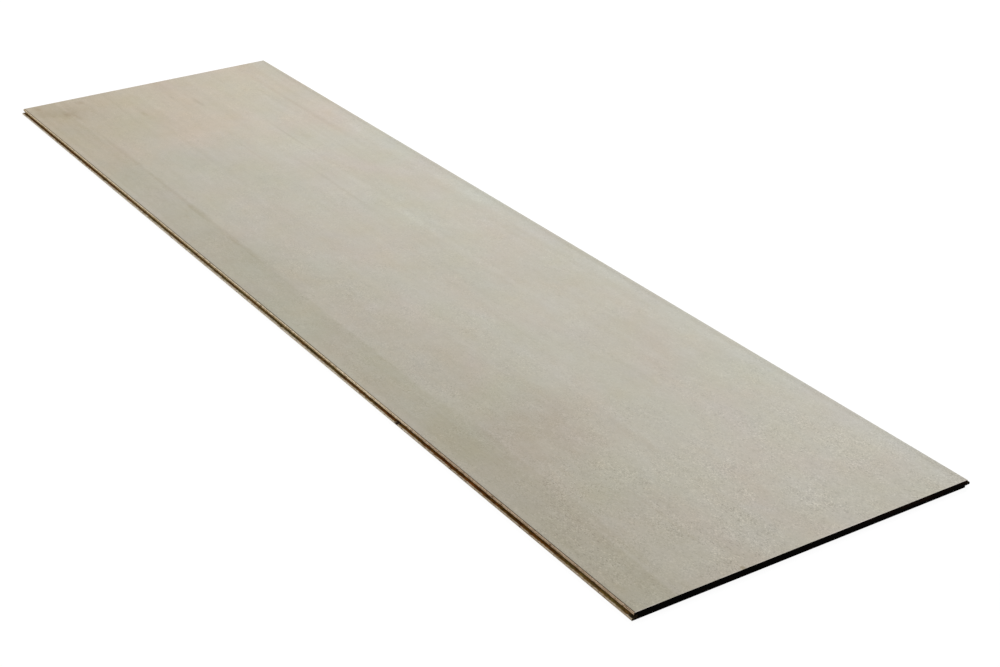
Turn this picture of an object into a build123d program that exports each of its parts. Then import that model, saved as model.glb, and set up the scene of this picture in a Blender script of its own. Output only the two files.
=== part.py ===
import os

from build123d import *

# Chipboard wall panel with a machined tongue and groove along its two long edges.
# X runs across the panel, Y along it and Z up through its thickness.
# The printed face is up. The origin is under the middle of the panel, on the floor.

# Board, in millimetres
panel_length = 2420.0
cover_width = 620.0
panel_thickness = 12.0

# Groove edge, on the -X side: a front lip under the printed face and a longer back lip
front_lip_thickness = 4.5
groove_height = 4.5
groove_corner_radius = 0.8
back_lip_reach = 3.8
back_lip_nose_radius = 0.4

# Bevel that breaks the printed face where it meets the front lip
bevel_width = 2.2
bevel_depth = 0.8

# Tongue edge, on the +X side
tongue_length = 5.0
tongue_nose_radius = 1.4
front_shoulder_radius = 0.4
back_shoulder_radius = 1.2

# Clearances of the joint between two neighbouring panels
tongue_side_clearance = 0.15
tongue_end_clearance = 0.6
back_lip_clearance = 0.4

# Sizes that follow from those above
overall_width = back_lip_reach + cover_width + tongue_length
front_lip_side_x = back_lip_reach - overall_width / 2
front_shoulder_x = front_lip_side_x + cover_width
back_shoulder_x = front_shoulder_x - back_lip_reach - back_lip_clearance
groove_top_z = panel_thickness - front_lip_thickness
groove_middle_z = groove_top_z - groove_height / 2
groove_floor_z = groove_top_z - groove_height
groove_depth = tongue_length + tongue_end_clearance
tongue_thickness = groove_height - 2 * tongue_side_clearance
tongue_floor_z = groove_middle_z - tongue_thickness / 2


def box_between(x_low, x_high, z_low, z_high):
    """Rectangle of the section between two sides and two levels."""
    middle = ((x_low + x_high) / 2, (z_low + z_high) / 2)
    return Pos(*middle) * Rectangle(x_high - x_low, z_high - z_low)


def rounded_bar(x_low, x_high, z_middle, height, radius):
    """Bar of the section with all four corners rounded, centred on one level."""
    return Pos((x_low + x_high) / 2, z_middle) * RectangleRounded(x_high - x_low, height, radius)


def corner_at(section, x, z):
    """The corner of the section that lies at a place."""
    return section.vertices().sort_by_distance((x, z, 0))[0]


def board_section():
    """Plain board from the side of the front lip to the front shoulder of the tongue."""
    return box_between(front_lip_side_x, front_shoulder_x, 0, panel_thickness)


def with_groove_edge(section):
    """Add the longer back lip, cut the groove and bevel the printed face."""
    back_lip = box_between(front_lip_side_x - back_lip_reach, front_lip_side_x, 0, groove_floor_z)
    section = section + back_lip
    for level in (0, groove_floor_z):
        nose = corner_at(section, front_lip_side_x - back_lip_reach, level)
        section = fillet(nose, back_lip_nose_radius)
    groove = rounded_bar(
        front_lip_side_x - groove_depth,
        front_lip_side_x + groove_depth,
        groove_middle_z,
        groove_height,
        groove_corner_radius,
    )
    return section - groove - printed_face_bevel()


def printed_face_bevel():
    """Sliver of the section that the bevel takes off above the front lip."""
    on_face = (front_lip_side_x + bevel_width, panel_thickness)
    arris = (front_lip_side_x, panel_thickness)
    on_side = (front_lip_side_x, panel_thickness - bevel_depth)
    return Polygon(on_face, arris, on_side, align=None)


def with_tongue_edge(section):
    """Cut back the shoulder behind the tongue, round the shoulders and add the tongue."""
    relief = box_between(back_shoulder_x, front_shoulder_x, 0, tongue_floor_z)
    section = section - relief
    front = corner_at(section, front_shoulder_x, panel_thickness)
    section = fillet(front, front_shoulder_radius)
    back = corner_at(section, back_shoulder_x, 0)
    section = fillet(back, back_shoulder_radius)
    tongue = rounded_bar(
        back_shoulder_x - tongue_length,
        front_shoulder_x + tongue_length,
        groove_middle_z,
        tongue_thickness,
        tongue_nose_radius,
    )
    return section + tongue


def wall_panel():
    """Whole panel: its section carried along the full length."""
    section = with_tongue_edge(with_groove_edge(board_section()))
    return extrude(Plane.XZ * section, amount=panel_length / 2, both=True)


os.makedirs("parts", exist_ok=True)
export_step(wall_panel(), "parts/wall_panel.step")
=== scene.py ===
"""Chipboard wall panel with a printed face, lying flat on a pale floor.

The panel is one board. Its visual model is the bare board, the thin printed
face on top of it and the near-black sheet on its near end, partly a dark seal
and partly painted shade. X runs across the panel, Y along it and Z up through
its thickness, in metres.
"""

import logging
import math
from collections.abc import Callable
from dataclasses import dataclass, field
from enum import Enum

import bpy
import numpy as np
from mathutils import Matrix, Vector
from mathutils.geometry import delaunay_2d_cdt


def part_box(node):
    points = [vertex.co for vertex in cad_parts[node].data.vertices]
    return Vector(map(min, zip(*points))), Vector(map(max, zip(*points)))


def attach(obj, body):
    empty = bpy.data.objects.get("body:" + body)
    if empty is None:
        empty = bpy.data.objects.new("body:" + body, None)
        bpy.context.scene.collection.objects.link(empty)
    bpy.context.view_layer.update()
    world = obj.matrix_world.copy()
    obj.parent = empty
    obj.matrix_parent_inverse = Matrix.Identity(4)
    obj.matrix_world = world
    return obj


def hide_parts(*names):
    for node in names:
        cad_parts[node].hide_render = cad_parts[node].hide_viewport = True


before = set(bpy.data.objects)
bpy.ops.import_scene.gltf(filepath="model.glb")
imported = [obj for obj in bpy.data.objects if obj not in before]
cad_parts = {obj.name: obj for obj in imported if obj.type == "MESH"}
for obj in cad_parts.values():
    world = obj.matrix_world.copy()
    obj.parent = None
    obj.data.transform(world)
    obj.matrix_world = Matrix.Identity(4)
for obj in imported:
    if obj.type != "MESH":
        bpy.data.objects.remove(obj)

MM = 0.001
PANEL_NODE = "wall_panel"
BODY = "root"

# Shifts in metres that keep the panel's places on a noise lattice above 0.
ALONG_SHIFT = 2.0
ACROSS_SHIFT = 1.0

LOG = logging.getLogger("wall_panel")

Pair = tuple[float, float]
Triple = tuple[float, float, float]
Colour = tuple[float, float, float, float]


class Slot(Enum):
    """Finishes of the panel, by the names that its record gives them."""

    PRINTED_FACE = "printed_face"
    BARE_CHIPBOARD = "bare_chipboard"
    DARK_END = "dark_end"


# ---------------------------------------------------------------------------
# Lines of the section
# ---------------------------------------------------------------------------


def straight(start: Pair, end: Pair, count: int) -> np.ndarray:
    """Points start + (end - start) * k / count, for k from 0 to count - 1."""
    share = np.arange(count)[:, None] / count
    return np.array(start) + (np.array(end) - np.array(start)) * share


def even_run(start: Pair, end: Pair, fine: float) -> np.ndarray:
    """Points on a straight run without its end, about a fine distance in metres apart."""
    return straight(start, end, max(1, round(math.dist(start, end) / fine)))


def corner_arc(centre: Pair, radius: float, first: float, last: float, count: int) -> np.ndarray:
    """Points centre + radius * (cos a, sin a), for angles a in even steps short of the last."""
    angle = np.radians(first + (last - first) * np.arange(count) / count)
    return np.array(centre) + radius * np.stack([np.cos(angle), np.sin(angle)], axis=1)


@dataclass(frozen=True)
class PanelSection:
    """Section of the board across its length, as it was pressed, sawn and machined."""

    thickness: float = 12.0 * MM
    front_lip_x: float = -310.6 * MM
    front_shoulder_x: float = 309.4 * MM
    back_shoulder_x: float = 305.2 * MM
    back_lip_x: float = -314.4 * MM
    tongue_tip_x: float = 314.4 * MM
    groove_bottom_x: float = -305.0 * MM
    groove_low_z: float = 3.0 * MM
    groove_high_z: float = 7.5 * MM
    groove_radius: float = 0.8 * MM
    lip_radius: float = 0.4 * MM
    bevel_width: float = 2.2 * MM
    bevel_depth: float = 0.8 * MM
    tongue_low_z: float = 3.15 * MM
    tongue_high_z: float = 7.35 * MM
    tongue_radius: float = 1.4 * MM
    front_radius: float = 0.4 * MM
    back_radius: float = 1.2 * MM
    arris_steps: int = 3

    def bottom(self) -> np.ndarray:
        """Back face, from the back lip to the shoulder behind the tongue.

        Returns:
            Points of the face.
        """
        left = (self.back_lip_x + self.lip_radius, 0.0)
        right = (self.back_shoulder_x - self.back_radius, 0.0)
        return straight(left, right, 6)

    def tongue_side(self, fine: float) -> np.ndarray:
        """Tongue edge, from the back face up to the printed face.

        Args:
            fine: Step between points along the edge, in metres.

        Returns:
            Points of the edge.
        """
        r, t = self.back_radius, self.tongue_radius
        back, low, high = self.back_shoulder_x, self.tongue_low_z, self.tongue_high_z
        tip = self.tongue_tip_x - t
        return np.concatenate([
            corner_arc((back - r, r), r, -90, 0, 3),
            even_run((back, r), (back, low), fine),
            even_run((back, low), (tip, low), fine),
            corner_arc((tip, low + t), t, -90, 0, 4),
            corner_arc((tip, high - t), t, 0, 90, 4),
            even_run((tip, high), (self.front_shoulder_x, high), fine),
        ])

    def groove_side(self, fine: float) -> np.ndarray:
        """Groove edge, from the side of the front lip down to the back face.

        Args:
            fine: Step between points along the edge, in metres.

        Returns:
            Points of the edge, from the top of the groove on.
        """
        g, r = self.groove_radius, self.lip_radius
        deep, lip = self.groove_bottom_x, self.back_lip_x
        low, high = self.groove_low_z, self.groove_high_z
        return np.concatenate([
            even_run((self.front_lip_x, high), (deep - g, high), fine),
            corner_arc((deep - g, high - g), g, 90, 0, 3),
            even_run((deep, high - g), (deep, low + g), fine),
            corner_arc((deep - g, low + g), g, 0, -90, 3),
            even_run((deep - g, low), (lip + r, low), fine),
            corner_arc((lip + r, low - r), r, 90, 180, 2),
            even_run((lip, low - r), (lip, r), fine),
            corner_arc((lip + r, r), r, 180, 270, 2),
        ])

    def bevel_point(self, share: float, drop: float = 0.0) -> Pair:
        """Point (x, z) a share of the way down the bevel, a drop under its surface."""
        slope = self.bevel_depth / self.bevel_width
        return (self.front_lip_x + self.bevel_width * (1 - share) + drop * slope,
                self.thickness - self.bevel_depth * share - drop)

    def face_line(self, drop: float, count: int, reach: float) -> np.ndarray:
        """Line of the printed face, from the tongue edge down onto the bevel.

        Args:
            drop: How far the line lies under the finished face, in metres.
            count: Number of steps across the flat face.
            reach: Share of the bevel that the line goes down.

        Returns:
            Points of the rounded arris, the flat face and the bevel.
        """
        r = self.front_radius
        flat_start = (self.front_shoulder_x - r, self.thickness - drop)
        flat_end, low = self.bevel_point(0.0, drop), self.bevel_point(reach, drop)
        return np.concatenate([
            corner_arc((self.front_shoulder_x - r, self.thickness - r), r - drop, 0, 90,
                       self.arris_steps),
            straight(flat_start, flat_end, count),
            straight(flat_end, low, 4),
            np.array([low]),
        ])


# ---------------------------------------------------------------------------
# Surfaces
# ---------------------------------------------------------------------------


def lattice_noise(u: np.ndarray, v: np.ndarray, cell_u: float, cell_v: float,
                  seed: int) -> np.ndarray:
    """Smooth random relief over a surface.

    Random heights from 0 to 1 stand on a grid of cells, and each point takes
    the mean of the four around it, weighted by 3t^2 - 2t^3 of its place t in
    the cell both ways.

    Args:
        u: Place of each point along the surface, in metres.
        v: Place of each point across the surface, in metres.
        cell_u: Size of a cell along the surface, in metres.
        cell_v: Size of a cell across the surface, in metres.
        seed: Number that fixes the random heights.

    Returns:
        Height of each point, from 0 to 1.
    """
    side = 512
    heights = np.random.default_rng(seed).random((side, side))
    a, b = u / cell_u, v / cell_v
    i, j = np.floor(a).astype(int), np.floor(b).astype(int)
    s, t = a - i, b - j
    s, t = s * s * (3 - 2 * s), t * t * (3 - 2 * t)
    i0, i1, j0, j1 = i % side, (i + 1) % side, j % side, (j + 1) % side
    low = heights[i0, j0] * (1 - s) + heights[i1, j0] * s
    high = heights[i0, j1] * (1 - s) + heights[i1, j1] * s
    return low * (1 - t) + high * t


def ring_normals(ring: np.ndarray) -> np.ndarray:
    """Outward normals of a closed line that runs anticlockwise.

    Each normal is the direction from the point before to the point after,
    turned a quarter clockwise and made one long.

    Args:
        ring: Points of the closed line.

    Returns:
        Array of one unit normal per point.
    """
    along = np.roll(ring, -1, axis=0) - np.roll(ring, 1, axis=0)
    normal = np.stack([along[:, 1], -along[:, 0]], axis=1)
    return normal / np.linalg.norm(normal, axis=1, keepdims=True)


def side_lengths(ring: np.ndarray) -> np.ndarray:
    """Length of each side of a closed line, the closing side last."""
    return np.linalg.norm(np.roll(ring, -1, axis=0) - ring, axis=1)


def distances(lengths: np.ndarray) -> np.ndarray:
    """Distance of each end along a chain of sides, from 0 to their sum."""
    return np.concatenate([[0.0], np.cumsum(lengths)])


def swept_vertices(ring: np.ndarray, stations: np.ndarray, depth: np.ndarray) -> np.ndarray:
    """Section carried along the panel, with relief cut into it.

    The point of ring point i at station j is the ring point less its outward
    normal times depth[j, i], at the length of station j.

    Args:
        ring: Section points (x, z), anticlockwise seen from the near end.
        stations: Places along the panel, in metres.
        depth: Relief depth at each station and ring point, in metres.

    Returns:
        Array of stations x ring points x 3 coordinates.
    """
    flat = ring[None] - ring_normals(ring)[None] * depth[..., None]
    along = np.broadcast_to(stations[:, None], depth.shape)
    return np.stack([flat[..., 0], along, flat[..., 1]], axis=2)


def filled_outline(outline: np.ndarray, step: float) -> tuple[np.ndarray, np.ndarray]:
    """Triangles that fill a closed outline, with points inside it.

    Points of a square grid that lie inside the outline, by the count of
    crossings of a level line, are joined with it by Delaunay triangles.

    Args:
        outline: Points of the outline, anticlockwise.
        step: Distance between the grid points, in metres.

    Returns:
        Points, those of the outline first, and triangles.
    """
    low, high = outline.min(0), outline.max(0)
    grid = np.stack(np.meshgrid(
        np.arange(low[0] + step / 2, high[0], step),
        np.arange(low[1] + step / 2, high[1], step), indexing="ij"), axis=2).reshape(-1, 2)
    start, end = outline, np.roll(outline, -1, axis=0)
    x, z = grid[:, 0, None], grid[:, 1, None]
    spans = (start[:, 1] > z) != (end[:, 1] > z)
    rise = np.where(end[:, 1] == start[:, 1], 1.0, end[:, 1] - start[:, 1])
    crossing = start[:, 0] + (z - start[:, 1]) * (end[:, 0] - start[:, 0]) / rise
    inside = (spans & (crossing > x)).sum(1) % 2 == 1
    away = np.abs(grid[:, None] - outline[None]).max(2).min(1) > step / 3
    points = np.concatenate([outline, grid[inside & away]])
    found = delaunay_2d_cdt(
        [Vector(p) for p in points.tolist()], [], [list(range(len(outline)))], 1, 1e-9)
    return np.array([tuple(p) for p in found[0]]), np.array(found[2])


def mesh_object(name: str, vertices: np.ndarray, faces: list[np.ndarray],
                sharp: float) -> bpy.types.Object:
    """Put worked-out vertices and faces into a new object at the origin.

    Args:
        name: Name of the piece.
        vertices: Vertex places, in metres.
        faces: Arrays of faces, one for each number of corners.
        sharp: Angle past which an edge is shaded sharp, in degrees.

    Returns:
        The new object.
    """
    mesh = bpy.data.meshes.new(name)
    listed = [face for part in faces for face in part.tolist()]
    mesh.from_pydata(vertices.reshape(-1, 3).tolist(), [], listed)
    mesh.polygons.foreach_set("use_smooth", np.ones(len(mesh.polygons), bool))
    mesh.set_sharp_from_angle(angle=math.radians(sharp))
    mesh.validate()
    piece = bpy.data.objects.new(name, mesh)
    bpy.context.scene.collection.objects.link(piece)
    return piece


def swept_object(name: str, vertices: np.ndarray, sharp: float) -> bpy.types.Object:
    """Close a swept section with its sides and its two end caps.

    Side (j, i) joins ring points i and i + 1 of stations j and j + 1, and the
    last ring point joins the first.

    Args:
        name: Name of the piece.
        vertices: Array of stations x ring points x 3 coordinates.
        sharp: Angle past which an edge is shaded sharp, in degrees.

    Returns:
        The new object.
    """
    count, around = vertices.shape[:2]
    j, i = np.meshgrid(np.arange(count - 1), np.arange(around), indexing="ij")
    k = (i + 1) % around
    first, second = j * around, (j + 1) * around
    sides = np.stack([first + i, second + i, second + k, first + k], axis=2).reshape(-1, 4)
    near = np.arange(around)[None]
    return mesh_object(name, vertices, [sides, near, near[:, ::-1] + (count - 1) * around], sharp)


# Layout of the folded bake map, in shares of its side: the free rim, the two
# columns, and the size and the corner of the strip that holds each end cap.
MAP_RIM = 0.004
COLUMN_WIDTH, COLUMN_STEP, COLUMN_HEIGHT = 0.490, 0.502, 0.920
NEAR_CAP = ((0.990, 0.012), (0.005, 0.932))
FAR_CAP = ((0.990, 0.042), (0.005, 0.952))


def folded_map(room: np.ndarray, stations: np.ndarray, outline: np.ndarray) -> np.ndarray:
    """Bake map of a swept piece, its sides in two columns and its end caps above.

    Each half of the length fills one column. Side i of the section starts at
    the share sum(room[:i]) / sum(room) of the column's width, and station y of
    a half lies at the height (y - y_first) / (y_last - y_first). A cap keeps
    its outline, stretched over a strip as wide as the map.

    Args:
        room: Width that each side of the section is given, in any unit.
        stations: Places along the panel, in metres.
        outline: Section points (x, z).

    Returns:
        Places on the map, in the order of the corners of the piece's faces.
    """
    edge = distances(room) / room.sum()
    half = len(stations) // 2
    j, i = np.meshgrid(np.arange(len(stations) - 1), np.arange(len(room)), indexing="ij")
    beyond = j >= half
    first = np.where(beyond, stations[half], stations[0])
    length = np.where(beyond, stations[-1] - stations[half], stations[half] - stations[0])
    low, high = (stations[j] - first) / length, (stations[j + 1] - first) / length
    across = np.stack([edge[i], edge[i], edge[i + 1], edge[i + 1]], axis=2)
    across = MAP_RIM + COLUMN_STEP * beyond[..., None] + COLUMN_WIDTH * across
    along = MAP_RIM + COLUMN_HEIGHT * np.stack([low, high, high, low], axis=2)
    sides = np.stack([across, along], axis=3).reshape(-1, 2)
    spread = (outline - outline.min(0)) / np.ptp(outline, axis=0)
    near, far = (spread * size + corner for size, corner in (NEAR_CAP, FAR_CAP))
    return np.concatenate([sides, near, far[::-1]])


def add_bake_map(piece: bpy.types.Object, corners: np.ndarray) -> None:
    """Give a piece the map that its finish is baked through, one place per face corner."""
    layer = piece.data.uv_layers.new(name="OFBake")
    layer.uv.foreach_set("vector", corners.astype(np.float32).ravel())


def add_attribute(piece: bpy.types.Object, name: str, values: np.ndarray) -> None:
    """Store one value per vertex on a piece, for its material to read."""
    attribute = piece.data.attributes.new(name, "FLOAT", "POINT")
    attribute.data.foreach_set("value", values.astype(np.float32).ravel())


# ---------------------------------------------------------------------------
# Shader building
# ---------------------------------------------------------------------------


def operator(operation: str, swapped: bool = False) -> Callable[["Value", object], "Value"]:
    """Make an operator of Value out of one operation of the Math node.

    Args:
        operation: Blender's name for the operation.
        swapped: Take the other term first.

    Returns:
        The operator.
    """
    def work(value: "Value", other: object) -> "Value":
        """Work out the operation on an output and another term."""
        terms = (other, value) if swapped else (value, other)
        return value.nodes.math(operation, *terms)
    return work


@dataclass(frozen=True)
class Value:
    """Output of a shader node, worked with like a number."""

    nodes: "Nodes"
    socket: bpy.types.NodeSocket

    __add__ = __radd__ = operator("ADD")
    __mul__ = __rmul__ = operator("MULTIPLY")
    __sub__, __rsub__ = operator("SUBTRACT"), operator("SUBTRACT", True)
    __truediv__, __rtruediv__ = operator("DIVIDE"), operator("DIVIDE", True)


@dataclass(frozen=True)
class Pattern:
    """Cloudy random pattern: patches per metre, finer layers, scales, shift and stir."""

    scale: float
    detail: float = 2.0
    roughness: float = 0.5
    along: float = 1.0
    shift: Pair = (0.0, 0.0)
    stir: float = 0.0
    across: float = 1.0
    up: float = 1.0


class Nodes:
    """Short way to add and join the nodes of one material or node group."""

    def __init__(self, tree: bpy.types.NodeTree) -> None:
        """Start with an empty tree."""
        self.tree = tree
        tree.nodes.clear()

    def put(self, socket: bpy.types.NodeSocket, value: object) -> None:
        """Join a socket to an output, or set its own value.

        Args:
            socket: Input socket.
            value: Output, or a number, colour or vector.
        """
        if isinstance(value, Value):
            self.tree.links.new(value.socket, socket)
        else:
            socket.default_value = value

    def add(self, kind: str, inputs: dict[str, object] | None = None,
            **settings: object) -> bpy.types.Node:
        """Add a node.

        Args:
            kind: Type of the node, without its ShaderNode prefix.
            inputs: Values of its inputs, by name.
            **settings: Settings of the node itself.

        Returns:
            The new node.
        """
        prefix = "" if kind.startswith("Node") else "ShaderNode"
        node = self.tree.nodes.new(prefix + kind)
        for name, value in settings.items():
            setattr(node, name, value)
        for name, value in (inputs or {}).items():
            self.put(node.inputs[name], value)
        return node

    def outputs(self, node: bpy.types.Node) -> dict[str, Value]:
        """Outputs of a node that are in use, by name."""
        return {socket.name: Value(self, socket) for socket in node.outputs if socket.enabled}

    def math(self, operation: str, *terms: object, kind: str = "Math",
             clamp: bool = False) -> Value:
        """Work out one number or vector from up to three.

        Args:
            operation: Blender's name for the operation.
            *terms: Numbers, vectors or outputs.
            kind: Math for numbers and VectorMath for vectors.
            clamp: Keep a number from 0 to 1.

        Returns:
            The result.
        """
        node = self.add(kind, operation=operation)
        if clamp:
            node.use_clamp = True
        for socket, term in zip(node.inputs, terms):
            self.put(socket, term)
        return Value(self, node.outputs[0])

    def split(self, vector: Value) -> tuple[Value, ...]:
        """The three parts of a vector."""
        return tuple(self.outputs(self.add("SeparateXYZ", {"Vector": vector})).values())

    def join(self, x: object = 0.0, y: object = 0.0, z: object = 0.0) -> Value:
        """Vector of three parts."""
        return Value(self, self.add("CombineXYZ", {"X": x, "Y": y, "Z": z}).outputs[0])

    def attribute(self, name: str) -> Value:
        """Value that the piece stores under a name."""
        return self.outputs(self.add("Attribute", attribute_name=name))["Fac"]

    def step(self, value: object, low: object, high: object) -> Value:
        """Go smoothly from 0 at the low value to 1 at the high one, which may be the lesser."""
        node = self.add("MapRange", {"Value": value, "From Min": low, "From Max": high},
                        interpolation_type="SMOOTHSTEP", clamp=True)
        return Value(self, node.outputs["Result"])

    def mix(self, factor: object, a: object, b: object, blend: str = "MIX",
            kind: str = "RGBA") -> Value:
        """Blend two colours or numbers.

        Args:
            factor: Share of the second one.
            a: First colour or number.
            b: Second colour or number.
            blend: Blender's name for the way of blending.
            kind: RGBA for colours and FLOAT for numbers.

        Returns:
            The blend.
        """
        node = self.add("Mix", data_type=kind, blend_type=blend, clamp_factor=True)
        for name, value in (("Factor", factor), ("A", a), ("B", b)):
            self.put(node.inputs[name], value)
        return Value(self, node.outputs["Result"])

    def tint(self, colour: object, tint: object, share: object = 1.0) -> Value:
        """Multiply a colour by a tint, where a share says so."""
        return self.mix(share, colour, tint, "MULTIPLY")

    def stretch(self, vector: object, scale: Triple, shift: Triple = (0.0, 0.0, 0.0)) -> Value:
        """Scale and then move a place on its piece."""
        node = self.add("Mapping", {"Vector": vector, "Scale": scale, "Location": shift})
        return Value(self, node.outputs["Vector"])

    def noise(self, vector: object, pattern: Pattern) -> Value:
        """Cloudy random pattern around 0.5.

        Args:
            vector: Place on the piece.
            pattern: Sizes of the pattern.

        Returns:
            Output from 0 to 1.
        """
        place = self.stretch(vector, (pattern.across, pattern.along, pattern.up),
                             (*pattern.shift, 0.0))
        node = self.add("TexNoise", {
            "Vector": place, "Scale": pattern.scale, "Detail": pattern.detail,
            "Roughness": pattern.roughness, "Distortion": pattern.stir}, noise_dimensions="3D")
        return Value(self, node.outputs["Fac"])

    def cells(self, vector: object, scale: object, feature: str = "F1",
              dimensions: str = "3D") -> dict[str, Value]:
        """Outputs of a pattern of random cells, by name."""
        return self.outputs(self.add("TexVoronoi", {"Vector": vector, "Scale": scale},
                                     voronoi_dimensions=dimensions, feature=feature))

    def randoms(self, cells: dict[str, Value]) -> tuple[Value, ...]:
        """Three random numbers that belong to each cell."""
        node = self.add("SeparateColor", {"Color": cells["Color"]})
        return tuple(self.outputs(node).values())

    def group(self, tree: bpy.types.NodeTree, **values: object) -> dict[str, Value]:
        """Outputs of a node group by name, its inputs named with underscores for spaces."""
        inputs = {name.replace("_", " "): value for name, value in values.items()}
        return self.outputs(self.add("Group", inputs, node_tree=tree))

    def close_group(self, **values: Value) -> bpy.types.NodeTree:
        """Give a node group its outputs.

        Args:
            **values: Each output's value, by its name.

        Returns:
            The node group.
        """
        for name in values:
            self.tree.interface.new_socket(
                name, in_out="OUTPUT", socket_type="NodeSocketFloat")
        self.add("NodeGroupOutput", values)
        return self.tree

    def seen(self) -> Value:
        """Tell what the camera sees, also off gloss and through glass, from what is lit.

        Returns:
            Output that is 1 for the camera's rays and 0 for light.
        """
        rays = self.outputs(self.add("LightPath"))
        return self.math("MAXIMUM", rays["Is Camera Ray"], self.math(
            "MAXIMUM", rays["Is Glossy Ray"], rays["Is Transmission Ray"]))


def new_group(name: str, inputs: dict[str, float | None]) -> tuple[Nodes, dict[str, Value]]:
    """Start a shader node group.

    Args:
        name: Name of the group.
        inputs: Default of each input by name, where None makes a vector.

    Returns:
        The group's nodes, and its inputs by name.
    """
    tree = bpy.data.node_groups.new(name, "ShaderNodeTree")
    for label, default in inputs.items():
        kind = "Vector" if default is None else "Float"
        socket = tree.interface.new_socket(
            label, in_out="INPUT", socket_type="NodeSocket" + kind)
        if default is not None:
            socket.default_value = default
    nodes = Nodes(tree)
    return nodes, nodes.outputs(nodes.add("NodeGroupInput"))


class Effects:
    """Node groups that more than one finish uses."""

    def __init__(self) -> None:
        """Build each group once."""
        self.chips = self._chips()
        self.soft_patch = self._soft_patch()
        self.specks = self._specks()

    def _chips(self) -> bpy.types.NodeTree:
        """Pressed wood chips that lie flat in the board.

        Cells of a random pattern, long and wide but thin, each take one tone.
        A second, finer set lies between them, and some borders are gaps.

        Returns:
            Group with the tone, the gaps and the height of the chips.
        """
        n, ins = new_group("Flat Chips", {
            "Vector": None, "Length": 0.008, "Width": 0.005, "Height": 0.0009, "Fines": 0.35})
        lift = n.join(z=n.noise(ins["Vector"], Pattern(90.0)) * 0.003 - 0.0015)
        size = n.join(ins["Width"], ins["Length"], ins["Height"])
        lifted = n.math("ADD", ins["Vector"], lift, kind="VectorMath")
        scaled = n.math("DIVIDE", lifted, size, kind="VectorMath")
        coarse, chance, _ = n.randoms(n.cells(scaled, 1.0))
        finer, _, _ = n.randoms(n.cells(scaled, 2.7))
        border = n.cells(scaled, 1.0, "DISTANCE_TO_EDGE")["Distance"]
        tone = n.mix(ins["Fines"], coarse, finer, kind="FLOAT")
        gap = n.step(border, 0.13, 0.0) * n.math("GREATER_THAN", chance, 0.45)
        return n.close_group(Tone=tone, Gap=gap, Bump=tone * 0.6 - gap)

    def _soft_patch(self) -> bpy.types.NodeTree:
        """Soft oval patch with a ragged border, at one place on a piece.

        The distance from the middle is measured in half lengths and half
        widths and stirred by a noise, and the patch fades from its core to 1.

        Returns:
            Group with the mask of the patch.
        """
        n, ins = new_group("Soft Patch", {
            "Vector": None, "Middle X": 0.0, "Middle Y": 0.0, "Half Width": 0.1,
            "Half Length": 0.1, "Core": 0.2, "Ragged": 0.5})
        x, y, _ = n.split(ins["Vector"])
        across = (x - ins["Middle X"]) / ins["Half Width"]
        along = (y - ins["Middle Y"]) / ins["Half Length"]
        stir = n.noise(ins["Vector"], Pattern(28.0, 3.0, 0.6, 0.5))
        distance = (n.math("SQRT", across * across + along * along)
                    + (stir - 0.5) * ins["Ragged"] * 2.0)
        return n.close_group(Mask=n.step(distance, 1.0, ins["Core"]))

    def _specks(self) -> bpy.types.NodeTree:
        """Small ragged specks on the X and Y of a place, thinned out at random.

        Each cell of a random pattern holds one speck, which shows only where
        the cell's own random number is under the given share. A finer noise
        bends the specks out of round.

        Returns:
            Group with the mask of the specks.
        """
        n, ins = new_group("Specks", {
            "Vector": None, "Spacing": 0.006, "Share": 0.3, "Radius": 0.3, "Soft": 0.15})
        noise = n.add("TexNoise", {"Vector": ins["Vector"], "Scale": 1.3 / ins["Spacing"]},
                      noise_dimensions="2D")
        stir = n.outputs(noise)["Color"]
        bent = n.math("MULTIPLY_ADD", stir, ins["Spacing"] * 0.9, ins["Vector"],
                      kind="VectorMath")
        cells = n.cells(bent, 1.0 / ins["Spacing"], dimensions="2D")
        chance, size, _ = n.randoms(cells)
        radius = ins["Radius"] * (size * 0.8 + 0.4)
        near = n.step(cells["Distance"], radius + ins["Soft"], radius)
        return n.close_group(Mask=near * n.math("LESS_THAN", chance, ins["Share"]))


@dataclass(frozen=True)
class Panel:
    """What the pieces and finishes of the panel share."""

    section: PanelSection
    half_length: float
    effects: Effects


class Material(Nodes):
    """Material in the making, with one Principled BSDF."""

    def __init__(self, name: str, roughness: float, specular: float) -> None:
        """Start the material.

        Args:
            name: Name of the material.
            roughness: Roughness where nothing varies it.
            specular: Specular level, the same all over.
        """
        self.made = bpy.data.materials.new(name)
        self.made.use_nodes = True
        super().__init__(self.made.node_tree)
        self.shader = self.add("BsdfPrincipled", {
            "Roughness": roughness, "Specular IOR Level": specular})
        self.add("OutputMaterial", {"Surface": Value(self, self.shader.outputs[0])})

    def set(self, **values: object) -> None:
        """Set or join inputs of the shader, named with underscores for spaces."""
        for name, value in values.items():
            self.put(self.shader.inputs[name.replace("_", " ")], value)


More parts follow.
